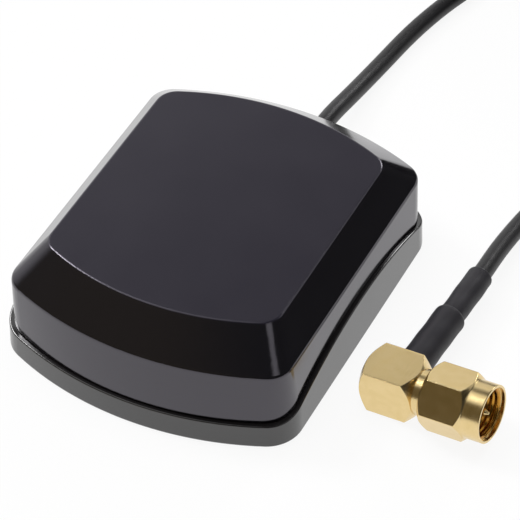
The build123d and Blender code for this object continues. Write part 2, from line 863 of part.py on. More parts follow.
with BuildPart() as coil_tie:
    with BuildSketch(tie_plane):
        RectangleRounded(tie_hole_width + 2 * tie_thickness, coil_height, tie_thickness)
        Rectangle(tie_hole_width, tie_hole_height, mode=Mode.SUBTRACT)
    extrude(amount=tie_width)
coil_tie.part.label = "coil_tie"

# Routes of the cable where it isn't coiled, chosen by hand: out of the case and down to the
# ground behind it, then from the coil back to the plug.
case_route = [
    (0.0, half_length, exit_height),
    (0.0, 32.6, exit_height),
    (0.1, 40.6, 2.4),
    (0.6, 49.4, lay_height),
    (1.6, 58.2, lay_height),
    (3.3, 66.0, lay_height),
    (entry_end.X, 71.6, lay_height),
    (entry_end.X, entry_end.Y, lay_height),
]
plug_route = [
    tuple(exit_end),
    tuple(exit_end + exit_direction * first_free_run),
    (43.6, 63.5, lay_height),
    (39.4, 53.2, lay_height),
    (35.3, 43.4, lay_height),
    (32.8, 33.0, 1.65),
    (32.1, 23.4, 2.45),
    tuple(narrow_sleeve_end),
    tuple(narrow_sleeve_start),
    tuple(plug_middle + leg_axis * spigot_end),
]


def bend_radii(route):
    """Largest arc for each corner: 0.45 of the shorter run over the tangent of half the turn."""
    points = [Vector(*p) for p in route]
    radii = []
    for before, corner, after in zip(points, points[1:], points[2:]):
        arriving = corner - before
        leaving = after - corner
        turn = radians(arriving.get_angle(leaving))
        radii.append(0.45 * min(arriving.length, leaving.length) / tan(turn / 2))
    return radii


def cable_run(route, name):
    """Tube along straight runs joined by tangent arcs; prints its radii, length and volume."""
    radii = bend_radii(route)
    with BuildPart() as run:
        with BuildLine() as path:
            FilletPolyline(*route, radius=radii)
        with BuildSketch(Plane(path.line @ 0, z_dir=path.line % 0)):
            Circle(cable_radius)
        sweep(path=path.line)
    length = sum(edge.length for edge in path.edges())
    expected = pi * cable_radius**2 * length
    print(name, "radii", [round(r, 1) for r in radii])
    print(name, "length", round(length, 1), "volume", round(run.part.volume / expected, 4))
    return run.part


with BuildPart() as case_cable:
    add(cable_run(case_route, "case_cable"))
case_cable.part.label = "case_cable"

with BuildPart() as plug_cable:
    add(cable_run(plug_route, "plug_cable"))
plug_cable.part.label = "plug_cable"

os.makedirs("parts", exist_ok=True)
export_step(base.part, "parts/base.step")
export_step(cover.part, "parts/cover.step")
export_step(magnet.part, "parts/magnet.step")
export_step(base_screws.part, "parts/base_screws.step")
export_step(circuit_board.part, "parts/circuit_board.step")
export_step(ceramic_patch.part, "parts/ceramic_patch.step")
export_step(feed_pin.part, "parts/feed_pin.step")
export_step(foam_pad.part, "parts/foam_pad.step")
export_step(shield_can.part, "parts/shield_can.step")
export_step(amplifier_chip.part, "parts/amplifier_chip.step")
export_step(band_filter.part, "parts/band_filter.step")
export_step(chip_capacitors.part, "parts/chip_capacitors.step")
export_step(cable_grommet.part, "parts/cable_grommet.step")
export_step(cable_tail.part, "parts/cable_tail.step")
export_step(elbow_body.part, "parts/elbow_body.step")
export_step(elbow_cap.part, "parts/elbow_cap.step")
export_step(insulator.part, "parts/insulator.step")
export_step(centre_pin.part, "parts/centre_pin.step")
export_step(snap_ring.part, "parts/snap_ring.step")
export_step(face_seal.part, "parts/face_seal.step")
export_step(coupling_nut.part, "parts/coupling_nut.step")
export_step(crimp_ferrule.part, "parts/crimp_ferrule.step")
export_step(wide_sleeve.part, "parts/wide_sleeve.step")
export_step(narrow_sleeve.part, "parts/narrow_sleeve.step")
export_step(plug_core.part, "parts/plug_core.step")
export_step(cable_coil.part, "parts/cable_coil.step")
export_step(coil_tie.part, "parts/coil_tie.step")
export_step(case_cable.part, "parts/case_cable.step")
export_step(plug_cable.part, "parts/plug_cable.step")
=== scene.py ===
# %% [markdown]
# # A roof antenna with a coiled cable and a right-angle plug
# The object is a small black moulded case with a thin coaxial cable and a gold-plated plug.
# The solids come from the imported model. This file gives them their finishes, and it draws
# better surfaces where the solids are plain: the turned plug, its sleeves, the cable with
# its coil, and the strap.

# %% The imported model
import math

import bpy
import numpy as np
from mathutils import Matrix, Vector


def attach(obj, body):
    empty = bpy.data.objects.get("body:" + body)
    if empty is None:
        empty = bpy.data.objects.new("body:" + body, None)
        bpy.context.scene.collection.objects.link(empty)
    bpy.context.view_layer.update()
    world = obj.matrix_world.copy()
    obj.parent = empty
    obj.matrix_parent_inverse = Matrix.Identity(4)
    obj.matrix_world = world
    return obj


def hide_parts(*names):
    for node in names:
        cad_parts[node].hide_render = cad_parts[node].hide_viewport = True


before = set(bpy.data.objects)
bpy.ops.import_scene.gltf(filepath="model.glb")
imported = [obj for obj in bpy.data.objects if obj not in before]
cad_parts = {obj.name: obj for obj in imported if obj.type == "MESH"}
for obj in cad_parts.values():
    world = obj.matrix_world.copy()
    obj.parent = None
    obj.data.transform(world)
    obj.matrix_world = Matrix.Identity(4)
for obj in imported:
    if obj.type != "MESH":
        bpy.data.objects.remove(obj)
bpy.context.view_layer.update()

# %% [markdown]
# ## Units and a mesh helper
# The drawing is in millimetres and Blender is in metres, so one factor is used all over.
# Most new pieces are grids: a row index along a profile and a column index around it. One
# helper joins such a grid into quads and closes it where it should close. A second one makes
# a smooth shaded piece of one or more such grids.

# %% Grid to mesh
mm = 0.001
scene = bpy.context.scene


def grid_part(points, around=True, along=False, start_pole=None, end_pole=None):
    """Points and faces from an array of rows x columns x 3. Each quad joins a point to the
    next one in its row and in the next row. A pole is one point that closes the first or the
    last row with triangles."""
    rows, columns = points.shape[:2]
    flat = points.reshape(-1, 3)
    index = np.arange(rows * columns).reshape(rows, columns)
    if around:
        index = np.concatenate([index, index[:, :1]], axis=1)
    if along:
        index = np.concatenate([index, index[:1]], axis=0)
    quads = np.stack([index[:-1, :-1], index[:-1, 1:], index[1:, 1:], index[1:, :-1]], axis=-1)
    faces = quads.reshape(-1, 4).tolist()
    if start_pole is not None:
        pole = np.full(index.shape[1] - 1, len(flat))
        flat = np.vstack([flat, start_pole])
        faces += np.stack([pole, index[0, 1:], index[0, :-1]], axis=-1).tolist()
    if end_pole is not None:
        pole = np.full(index.shape[1] - 1, len(flat))
        flat = np.vstack([flat, end_pole])
        faces += np.stack([pole, index[-1, :-1], index[-1, 1:]], axis=-1).tolist()
    return flat, faces


def surface_piece(name, *parts):
    """One object from grids in millimetres. The faces of each later grid count on from the
    points of those before it."""
    starts = np.cumsum([0] + [len(points) for points, _ in parts])
    faces = [
        [i + start for i in face]
        for (_, group), start in zip(parts, starts.tolist())
        for face in group
    ]
    flat = np.vstack([points for points, _ in parts])
    mesh = bpy.data.meshes.new(name)
    mesh.from_pydata((flat * mm).tolist(), [], faces)
    mesh.shade_smooth()
    mesh.update()
    piece = bpy.data.objects.new(name, mesh)
    scene.collection.objects.link(piece)
    print(name, len(flat), "points", len(faces), "faces")
    return piece


def smooth_step(t):
    """Three times t squared less twice t cubed, with t held between 0 and 1."""
    t = np.clip(t, 0, 1)
    return t * t * (3 - 2 * t)


# %% [markdown]
# ## Camera
# The camera stands where the photographer's did: it was worked out from the outline of the
# case. It is a long lens seen from the front right and above, with a very slight roll. Its
# focal length was found in pixels, and the share of the picture's width turns it into the
# millimetres of Blender's sensor.

# %% Camera
view_azimuth = math.radians(27.135)
view_elevation = math.radians(44.607)
view_roll = math.radians(-0.687)
camera_place = (0.124281, -0.230649, 0.263718)
focal_pixels = 2783.27
picture_pixels = 520
back = Vector(
    (
        math.sin(view_azimuth) * math.cos(view_elevation),
        -math.cos(view_azimuth) * math.cos(view_elevation),
        math.sin(view_elevation),
    )
)
level_right = Vector((math.cos(view_azimuth), math.sin(view_azimuth), 0))
level_up = back.cross(level_right)
right = level_right * math.cos(view_roll) + level_up * math.sin(view_roll)
up = level_up * math.cos(view_roll) - level_right * math.sin(view_roll)
camera = bpy.data.objects.new("camera", bpy.data.cameras.new("camera"))
camera.data.sensor_width = 36
camera.data.lens = 36 * focal_pixels / picture_pixels
camera.data.clip_start = 0.01
camera.data.clip_end = 10
camera.matrix_world = Matrix(
    (
        (right.x, up.x, back.x, camera_place[0]),
        (right.y, up.y, back.y, camera_place[1]),
        (right.z, up.z, back.z, camera_place[2]),
        (0, 0, 0, 1),
    )
)
scene.collection.objects.link(camera)
scene.camera = camera
scene.view_settings.view_transform = "Standard"
print("lens", round(camera.data.lens, 1), "mm")

# %% [markdown]
# ## The cable
# Three metres of thin coaxial cable leave the case, go round a coil behind it and come back
# to the plug. One NURBS spline carries the whole length, since it is one cable. A swept mesh
# would do too, but a curve keeps its route as plain points and gets its round section from
# one bevel. The control points are the route of the drawing, and the coil is wound in
# layers: each turn keeps its place until a short jog moves it one diameter, and at the end
# of a layer it climbs one. Five full layers of five turns lie under a looser one of four.

# %% Coil turns
coil_middle = np.array([26.0, 95.0])
cable_diameter = 2.6
lay_height = 1.35
full_layers = 5
layer_radii = [20.8, 18.2, 15.6, 13.0, 10.4]
top_radii = [10.4, 13.9, 17.3, 20.8]
strap_lift = 0.75
strap_hold = 14
strap_release = 34
slots = []
for layer in range(full_layers):
    slots += [(r, layer) for r in (layer_radii if layer % 2 == 0 else layer_radii[::-1])]
slots += [(r, full_layers) for r in top_radii]
turn_count = len(slots) - 1
slot_radius = np.array([r for r, _ in slots] + [top_radii[-1]])
slot_layer = np.array([float(layer) for _, layer in slots] + [full_layers])


def coil_points(step=22.5, end=105.0):
    """Control points of the wound turns. The angle runs clockwise from the coil's left side.
    In the last turn of a layer the cable climbs between 135 and 205 degrees, and in all
    others its radius jogs between 210 and 270 degrees. At the strap, 90 degrees, layers lie
    closer because alternate ones shift sideways by half a diameter."""
    travelled = np.arange(0, turn_count * 360 + end + 0.1, step)
    shifted = travelled + 90
    turn = (shifted // 360).astype(int)
    angle = shifted % 360
    jog = smooth_step((angle - 300) / 60)
    climb = smooth_step((angle - 225) / 70)
    after = np.minimum(turn + 1, len(slots))
    radius = slot_radius[turn] + (slot_radius[after] - slot_radius[turn]) * jog
    layer = slot_layer[turn] + (slot_layer[after] - slot_layer[turn]) * climb
    # Squeeze under the strap: sideways shift of alternate layers and a closer spacing.
    near = 1 - smooth_step((np.abs(angle - 180) - strap_hold) / strap_release)
    side = np.where(np.round(layer) % 2 == 0, -0.5, 0.5)
    radius = radius + 0.5 * cable_diameter * near * side * (layer < full_layers - 0.5)
    spacing = np.sqrt(cable_diameter**2 - (0.5 * cable_diameter * near) ** 2)
    squeezed = np.minimum(layer, full_layers - 1) * spacing
    loose = np.maximum(layer - (full_layers - 1), 0) * cable_diameter
    height = lay_height + strap_lift * near + squeezed + loose
    # Opposite a control point a spline of order 3 runs at this share of the point's radius,
    # so the points lie further out.
    control = radius / (0.75 + 0.25 * math.cos(math.radians(step)))
    place = np.radians(180 - travelled)
    return np.column_stack(
        [
            coil_middle[0] + control * np.cos(place),
            coil_middle[1] + control * np.sin(place),
            height,
        ]
    )


print("coil of", turn_count, "turns")

# %% [markdown]
# The last turn leaves the strap on top, moves out by a diameter, runs down the outside of
# the coil, as high as its five full layers, and reaches the ground where the cable goes back
# to the plug. Its control points lie a little outside the curve too, so the radius is
# divided by a share just under one.

# %% Cable spline
last_degrees = np.arange(65, -11, -12.5)
last_angle = np.radians(last_degrees)
step_out = 2.65
last_drop = full_layers * cable_diameter
curve_share = 0.988
# It moves out from 78 to 45 degrees and comes down from 58 to -10, counted from +X.
last_radius = top_radii[-1] + step_out * smooth_step((78 - last_degrees) / 33)
last_turn = np.column_stack(
    [
        coil_middle[0] + last_radius / curve_share * np.cos(last_angle),
        coil_middle[1] + last_radius / curve_share * np.sin(last_angle),
        lay_height + last_drop * (1 - smooth_step((58 - last_degrees) / 68)),
    ]
)
case_end = [
    (0.0, 26.4, 4.2),
    (0.0, 32.6, 4.2),
    (0.1, 40.6, 2.4),
    (0.6, 49.4, lay_height),
    (1.6, 58.2, lay_height),
    (3.3, 66.0, lay_height),
    (5.2, 71.6, lay_height),
    (5.2, 77.0, lay_height),
    (5.15, 86.0, lay_height),
]
plug_end = [
    (46.99, 79.12, lay_height),
    (45.69, 71.73, lay_height),
    (43.6, 63.5, lay_height),
    (39.4, 53.2, lay_height),
    (35.3, 43.4, lay_height),
    (32.5, 33.0, 1.65),
    (31.35, 22.4, 2.5),
    (31.4685, 14.3506, 3.3727),
    (31.0696, 5.5661, 3.7105),
    (30.6441, -0.519, 3.7105),
]
route = np.vstack([case_end, coil_points(), last_turn, plug_end])


def cable_spline(name, points, diameter):
    """One open NURBS spline of order 3 on control points in millimetres, given a round
    section by a bevel of half the diameter. The bevel is a circle of one metre that each
    point's own radius brings down, since Blender adds that radius to the curve's bounds."""
    curve = bpy.data.curves.new(name, "CURVE")
    curve.dimensions = "3D"
    spline = curve.splines.new("NURBS")
    spline.points.add(len(points) - 1)
    weights = np.ones((len(points), 1))
    spline.points.foreach_set("co", np.hstack([points * mm, weights]).ravel())
    spline.points.foreach_set("radius", np.full(len(points), diameter / 2 * mm))
    spline.order_u = 3
    spline.use_endpoint_u = True
    spline.resolution_u = 4
    curve.bevel_depth = 1.0
    curve.bevel_resolution = 5
    curve.use_fill_caps = True
    piece = bpy.data.objects.new(name, curve)
    scene.collection.objects.link(piece)
    return piece


cable = cable_spline("cable", route, cable_diameter)
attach(cable, "antenna")
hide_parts("case_cable", "cable_coil", "plug_cable")
print("cable control points", len(route))

# %% [markdown]
# ## Turned surfaces
# The plug's parts are turned on a lathe, and two of them are milled from square or hexagonal
# bar. A lathe part is a profile carried round an axis. Where bar is turned, the radius of
# the profile depends on the angle too, since it ends on the bar's flats. A Screw modifier
# could turn a plain profile but not such a one, so the grid is worked out here. Real edges
# are never sharp, so each corner of a profile is drawn as a small curve. Without it no edge
# would catch the light.

# %% Profiles and bars
curve_rows = 5
rows_per_corner = curve_rows + 2


def round_axis(middle, axis, side, along, out, angle):
    """Points so far along an axis and so far out from it. The angle counts from the side
    direction, by the right-hand rule about the axis."""
    third = np.cross(axis, side)
    ring = np.cos(angle)[..., None] * side + np.sin(angle)[..., None] * third
    return middle + along[..., None] * axis + out[..., None] * ring


def profile(columns, *rows):
    """Stacks rows of (along, out), each a number or one value for each of the columns."""
    pairs = [np.broadcast_arrays(*row, np.zeros(columns))[:2] for row in rows]
    return np.array(pairs).transpose(0, 2, 1)


def eased(corners, reach):
    """Rounds the corners of a closed profile, an array of rows x columns x 2. A corner turns
    into a quadratic curve between two points that lie the reach away on its two sides, and
    one more row lies a reach further out on each side, which keeps the flats flat."""
    before = np.roll(corners, 1, axis=0) - corners
    after = np.roll(corners, -1, axis=0) - corners
    long_before = np.linalg.norm(before, axis=-1, keepdims=True)
    long_after = np.linalg.norm(after, axis=-1, keepdims=True)
    reach = np.reshape(reach, (-1, 1, 1)) * np.ones_like(long_before)
    near_before = corners + before / long_before * np.minimum(reach, 0.3 * long_before)
    near_after = corners + after / long_after * np.minimum(reach, 0.3 * long_after)
    hold_before = corners + before / long_before * np.minimum(2 * reach, 0.45 * long_before)
    hold_after = corners + after / long_after * np.minimum(2 * reach, 0.45 * long_after)
    share = np.linspace(0, 1, curve_rows).reshape(1, -1, 1, 1)
    bend = (
        (1 - share) ** 2 * near_before[:, None]
        + 2 * share * (1 - share) * corners[:, None]
        + share**2 * near_after[:, None]
    )
    rows = np.concatenate([hold_before[:, None], bend, hold_after[:, None]], axis=1)
    return rows.reshape(-1, *corners.shape[1:])


def bar_angles(sides):
    """Angles round a bar, closer together near its edges, with the first edge at 0."""
    half = math.pi / sides
    share = np.array([0, 0.013, 0.033, 0.067, 0.12, 0.2, 0.33, 0.5, 0.67, 0.83, 1.0])
    one_side = np.concatenate([half * share, 2 * half - half * share[-2:0:-1]])
    return (one_side + 2 * half * np.arange(sides)[:, None]).ravel()


def bar_radius(angle, sides, across, sharpness=110):
    """Distance from the middle to the flats: half the size across flats over a soft maximum
    of the cosines to all flats. The higher the sharpness, the smaller the edge's curve."""
    flats = math.pi / sides * (2 * np.arange(sides)[:, None] + 1)
    near = np.clip(np.cos(angle - flats), 0, None) ** sharpness
    return across / 2 * near.sum(axis=0) ** (-1 / sharpness)


print("angles round a hexagonal bar", len(bar_angles(6)))

# %% [markdown]
# ## The plug's place
# The plug lies on its side on the ground, with its mouth to the right and a little up. Its
# leg, on which the cable is crimped, points level to the back. All its parts are drawn
# along these two axes, which are those of the drawing.

# %% Plug axes
plug_middle = np.array([30.1, -8.3, 3.7105])
plug_yaw = math.radians(4.0)
plug_tilt = math.radians(6.5)
plug_axis = np.array(
    [
        math.cos(plug_tilt) * math.cos(plug_yaw),
        -math.cos(plug_tilt) * math.sin(plug_yaw),
        math.sin(plug_tilt),
    ]
)
leg_axis = np.array([math.sin(plug_yaw), math.cos(plug_yaw), 0.0])
plug_top = np.cross(plug_axis, leg_axis)
print("plug axis", plug_axis.round(4), "leg axis", leg_axis.round(4))

# %% [markdown]
# ## Coupling nut
# The nut is hexagonal bar, turned at both ends, with a round nose. It turns freely on the
# elbow, and lies here turned by 8 degrees. Its mouth has a plain counterbore, then a thread,
# and a chamber behind it for the seal and the snap ring. Cutting cones from a hexagonal
# prism would leave hard edges, so the flats and the cones are one surface.

# %% Nut profile
nut_across = 8.0
nut_rear = 4.5
nut_front = 13.2
nose_radius = 3.87
hex_end = nut_rear + 6.2
cone_slope = 0.95
counterbore_end = nut_front - 0.55
chamber_start, chamber_end, chamber_radius = 5.7, 6.8, 3.45
neck_hole = 2.8
thread_radius = 3.07
thread_start = nut_front - 0.72
thread_end = 6.95
nut_turn = math.radians(-8.0)
hex_angle = bar_angles(6) + nut_turn
hex_radius = bar_radius(bar_angles(6), 6, nut_across)
cone = (hex_radius - nose_radius) * cone_slope
nut_corners = profile(
    len(hex_angle),
    (nut_rear, neck_hole),
    (nut_rear, nose_radius),
    (nut_rear + cone, hex_radius),
    (hex_end - cone, hex_radius),
    (hex_end, nose_radius),
    (nut_front, nose_radius),
    (nut_front, 3.52),
    (counterbore_end, 3.5),
    (counterbore_end, 3.24),
    (thread_start, thread_radius),
    (thread_end, thread_radius),
    (chamber_end, chamber_radius),
    (chamber_start, chamber_radius),
    (chamber_start, neck_hole),
)
nut_reach = [0.1, 0.08, 0.07, 0.07, 0.12, 0.1, 0.06, 0.05, 0.05, 0.03, 0.03, 0.1, 0.1, 0.1]
nut_rows = eased(nut_corners, nut_reach)
print("nut profile", nut_rows.shape[0], "rows", nut_rows.shape[1], "columns")

# %% [markdown]
# The thread has 36 turns per inch. It is a wave on the radius that moves on by one pitch in
# each round, so it is a true helix and still closes on itself. The wave is an arc sine of a
# cosine, which is nearly a zigzag. Its rows go in after the tenth corner of the profile,
# where the thread starts.

# %% Nut thread
thread_pitch = 25.4 / 36
thread_wave = 0.1
rows_before_thread = 10 * rows_per_corner
thread_along = np.arange(thread_start - 0.05, thread_end + 0.05, -thread_pitch / 10)
rise = smooth_step((thread_start - thread_along) / 0.35)[:, None]
turns = thread_along[:, None] / thread_pitch - hex_angle / (2 * math.pi)
vee = np.arcsin(0.96 * np.cos(2 * math.pi * turns)) / math.asin(0.96)
thread_out = thread_radius + thread_wave * rise * vee
thread_rows = np.stack([np.broadcast_to(thread_along[:, None], vee.shape), thread_out], axis=-1)
nut_rows = np.concatenate(
    [nut_rows[:rows_before_thread], thread_rows, nut_rows[rows_before_thread:]]
)
nut_points = round_axis(
    plug_middle, plug_axis, leg_axis, nut_rows[..., 0], nut_rows[..., 1], hex_angle
)
nut = surface_piece("plug_nut", grid_part(nut_points, along=True))
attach(nut, "nut")
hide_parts("coupling_nut")

# %% [markdown]
# ## Elbow
# The elbow is square bar with turned ends. It goes on as a round neck and, inside the nut, as
# a hollow spindle with a groove for the snap ring. The back has a step for the closing cap.
# The square's edges point between the two axes, so the angles start 45 degrees off. The
# leg is a short tube of its own, the spigot, over which the cable's braid is crimped. It
# runs into the elbow's wall, which is simpler than a true joint and isn't seen.

# %% Elbow
square_across = 6.4
elbow_rear = -4.25
elbow_front = 3.2
end_radius = 3.12
edge_rise = 1.325
rear_slope = 0.8 / edge_rise
front_slope = 1.07 / edge_rise
neck_end, neck_radius = elbow_front + 1.2, 3.0
groove_start, groove_end, groove_radius = 5.7, 6.4, 2.5
spindle_end, spindle_radius, spindle_hole = 9.6, 2.75, 2.05
cap_seat, cap_seat_depth = 2.3, 0.4
step_radius, step_height = 2.7, 0.2
square_angle = bar_angles(4) + math.pi / 4
square_radius = bar_radius(bar_angles(4), 4, square_across)
elbow_corners = profile(
    len(square_angle),
    (elbow_rear - step_height, cap_seat),
    (elbow_rear - step_height, step_radius),
    (elbow_rear, end_radius),
    (elbow_rear + (square_radius - end_radius) * rear_slope, square_radius),
    (elbow_front - (square_radius - end_radius) * front_slope, square_radius),
    (elbow_front, end_radius),
    (elbow_front, neck_radius),
    (neck_end, neck_radius),
    (neck_end, spindle_radius),
    (groove_start, spindle_radius),
    (groove_start, groove_radius),
    (groove_end, groove_radius),
    (groove_end, spindle_radius),
    (spindle_end, spindle_radius),
    (spindle_end, spindle_hole),
    (elbow_rear + cap_seat_depth, spindle_hole),
    (elbow_rear + cap_seat_depth, cap_seat),
)
elbow_reach = [0.03, 0.06, 0.06, 0.05, 0.05, 0.05, 0.05, 0.08] + [0.04] * 9
elbow_rows = eased(elbow_corners, elbow_reach)
elbow_points = round_axis(
    plug_middle, plug_axis, leg_axis, elbow_rows[..., 0], elbow_rows[..., 1], square_angle
)
round_angle = np.linspace(0, 2 * math.pi, 32, endpoint=False)
spigot_corners = profile(len(round_angle), (2.4, 0.8), (2.4, 1.25), (7.8, 1.25), (7.8, 0.8))
spigot_rows = eased(spigot_corners, 0.05)
spigot_points = round_axis(
    plug_middle, leg_axis, plug_top, spigot_rows[..., 0], spigot_rows[..., 1], round_angle
)
elbow = surface_piece(
    "plug_elbow", grid_part(elbow_points, along=True), grid_part(spigot_points, along=True)
)
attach(elbow, "antenna")
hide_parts("elbow_body")

# %% [markdown]
# ## Centre pin
# The pin is turned too. Its front is thinner than the body in the insulator, and it ends in
# a blunt point so that it finds its way into the jack. Both ends close on the axis, so the
# rows that would ease the profile across the axis are left off for two poles.

# %% Pin
pin_rear = -0.95
pin_front = 12.75
pin_corners = profile(
    len(round_angle),
    (pin_rear, 0.3),
    (pin_rear, 0.635),
    (spindle_end, 0.635),
    (spindle_end, 0.46),
    (12.15, 0.46),
    (12.7, 0.17),
    (pin_front, 0.08),
)
pin_rows = eased(pin_corners, [0.01, 0.04, 0.04, 0.03, 0.12, 0.05, 0.01])[3:-3]
pin_points = round_axis(
    plug_middle, plug_axis, leg_axis, pin_rows[..., 0], pin_rows[..., 1], round_angle
)
pin = surface_piece(
    "plug_pin",
    grid_part(
        pin_points,
        start_pole=plug_middle + pin_rear * plug_axis,
        end_pole=plug_middle + pin_front * plug_axis,
    ),
)
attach(pin, "antenna")
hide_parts("centre_pin")

# %% [markdown]
# ## Shrunk sleeves
# Two lengths of tube were shrunk over the crimp and the cable with hot air. They follow what
# is under them, so they are not perfectly round: slow ripples a few hundredths of a
# millimetre deep run along and around them, and their ends are soft. A displaced plain tube
# could show that as well, but as a formula the ripple fades out towards both ends.

# %% Sleeves
sleeve_angle = np.linspace(0, 2 * math.pi, 64, endpoint=False)
ripple_depth = 0.022
oval_depth = 0.016


def sleeve(name, node, middle, axis, start, end, outer, inner, lip):
    """A tube with a rounded far end. The outer radius falls off near the end as a quarter of
    an ellipse, and carries two waves, one along the tube and one around it."""
    lip_along = end - lip + lip * np.sin(np.linspace(0, 1, 9)[1:] * math.pi / 2)
    along = np.concatenate([np.linspace(start, end - lip, 60), lip_along])
    fall = np.clip((along - (end - lip)) / lip, 0, 1)
    out = outer - lip * 0.6 * (1 - np.sqrt(1 - fall**2))
    inside = np.clip(along - start, 0, 1) * (1 - fall)
    ripple = ripple_depth * np.sin(1.55 * along[:, None] + 1.4 * np.sin(sleeve_angle))
    oval = oval_depth * np.sin(2 * sleeve_angle + 0.7 * along[:, None])
    out = out[:, None] + (ripple + oval) * inside[:, None]
    along = np.broadcast_to(along[:, None], out.shape)
    inner_rows = np.linspace(end, start, 6)[:, None] + 0 * sleeve_angle
    rows = np.concatenate([along, inner_rows])
    radii = np.concatenate([out, np.full_like(inner_rows, inner)])
    side = np.cross(axis, (1.0, 0.0, 0.0))
    side /= np.linalg.norm(side)
    points = round_axis(middle, axis, side, rows, radii, sleeve_angle)
    piece = surface_piece(name, grid_part(points, along=True))
    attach(piece, "antenna")
    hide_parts(node)
    return piece


wide_end = 13.9
wide_sleeve = sleeve(
    "plug_wide_sleeve",
    "wide_sleeve",
    plug_middle,
    leg_axis,
    start=elbow_front,
    end=wide_end,
    outer=2.15,
    inner=1.9,
    lip=0.55,
)
swing = math.radians(2.6)
sag = math.radians(2.2)
narrow_axis = np.array([math.sin(swing), math.cos(swing), -math.tan(sag)])
narrow_axis /= np.linalg.norm(narrow_axis)
narrow_sleeve = sleeve(
    "plug_narrow_sleeve",
    "narrow_sleeve",
    plug_middle + wide_end * leg_axis,
    narrow_axis,
    start=-0.6,
    end=8.8,
    outer=1.74,
    inner=1.3,
    lip=0.3,
)

# %% [markdown]
# ## Strap round the coil
# The spare cable is held by a woven strap with hooks on one face and loops on the other. It
# goes once round the bundle and then over its own start. The path is a box with round
# corners, seen from the side: a circle whose squares are taken to the seventh power instead.
# That keeps the sides nearly flat and needs no separate arcs. The section is a thin
# rectangle. Its points are given by their X and by a share of the thickness.

# %% Strap
strap_middle = np.array([110.6, 7.9])
strap_half = np.array([7.6, 7.5])
strap_thickness = 0.62
overlap_gap = 0.08
box_power = 7
# The path starts at 40 degrees and goes on to -400. From -285 it rises over its own start.
path_angle = np.radians(np.linspace(40, -400, 260))
overlap = smooth_step((math.radians(-285) - path_angle) / math.radians(35))
reach = strap_half + ((strap_thickness + overlap_gap) * overlap)[:, None]
around_box = np.column_stack([np.cos(path_angle), np.sin(path_angle)])
box_norm = (np.abs(around_box / reach) ** box_power).sum(axis=1)
path = strap_middle + (box_norm ** (-1 / box_power))[:, None] * around_box
heading = np.gradient(path, axis=0)
heading /= np.linalg.norm(heading, axis=1, keepdims=True)
outward = np.column_stack([-heading[:, 1], heading[:, 0]])
section = np.array(
    [
        (22.0, 0.15),
        (22.15, 0.0),
        (29.85, 0.0),
        (30.0, 0.15),
        (30.0, 0.85),
        (29.85, 1.0),
        (22.15, 1.0),
        (22.0, 0.85),
    ]
)
out = (section[:, 1] - 0.5) * strap_thickness
strap_points = np.empty((len(path), len(section), 3))
strap_points[..., 0] = section[:, 0]
strap_points[..., 1:] = path[:, None] + outward[:, None] * out[:, None]
strap = surface_piece(
    "coil_strap",
    grid_part(
        strap_points,
        start_pole=strap_points[0].mean(axis=0),
        end_pole=strap_points[-1].mean(axis=0),
    ),
)
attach(strap, "antenna")
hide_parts("coil_tie")

# %% [markdown]
# ## Colours and nodes
# Colours are written as they are read from a screen, in sRGB, and Blender's shaders want
# them linear, so one function turns them. A second one adds a node to a material, sets its
# inputs and links them, and is used for every pattern below. Some sockets go by number: a
# Mix node has its share at 0, its values at 2 and 3 and its colours at 6 and 7, and a Map
# Range has its two limits at 1 and 2 and what they turn into at 3 and 4. Blender's noise
# lies mostly between 0.3 and 0.7, so these are the limits wherever a pattern sets a tone.

# %% Colour and node helpers
per_mm = 1 / mm
noise_low = 0.3
noise_high = 0.7


def linear(hex_colour):
    """Red, green, blue and one: each sRGB step of 0 to 255 over the sRGB curve."""
    steps = np.array([int(hex_colour[i : i + 2], 16) for i in (1, 3, 5)]) / 255
    value = np.where(steps <= 0.04045, steps / 12.92, ((steps + 0.055) / 1.055) ** 2.4)
    return (*[float(v) for v in value], 1.0)


def add_node(material, kind, inputs=None, **settings):
    """Adds a node. Settings are its own properties. An input gets a value or a link from
    another node's output socket."""
    node = material.node_tree.nodes.new("ShaderNode" + kind)
    for key, value in settings.items():
        setattr(node, key, value)
    for key, value in (inputs or {}).items():
        if isinstance(value, bpy.types.NodeSocket):
            material.node_tree.links.new(value, node.inputs[key])
        else:
            node.inputs[key].default_value = value
    return node


def new_material(name, colour, roughness, metallic=0.0, ior=1.5):
    """A Principled material with constants set on the shader, and the shader's node. The
    colour and the roughness hold only where no pattern is joined to them."""
    material = bpy.data.materials.new(name)
    material.use_nodes = True
    shader = material.node_tree.nodes["Principled BSDF"]
    shader.inputs["Base Color"].default_value = linear(colour)
    shader.inputs["Roughness"].default_value = roughness
    shader.inputs["Metallic"].default_value = metallic
    shader.inputs["IOR"].default_value = ior
    material.diffuse_color = linear(colour)
    return material, shader


def wire(material, shader, **outputs):
    """Joins output sockets to the shader's inputs of the same names, with _ for a space."""
    for name, output in outputs.items():
        material.node_tree.links.new(output, shader.inputs[name.replace("_", " ")])


print("white is", linear("#FFFFFF")[0], "mid grey is", round(linear("#808080")[0], 3))
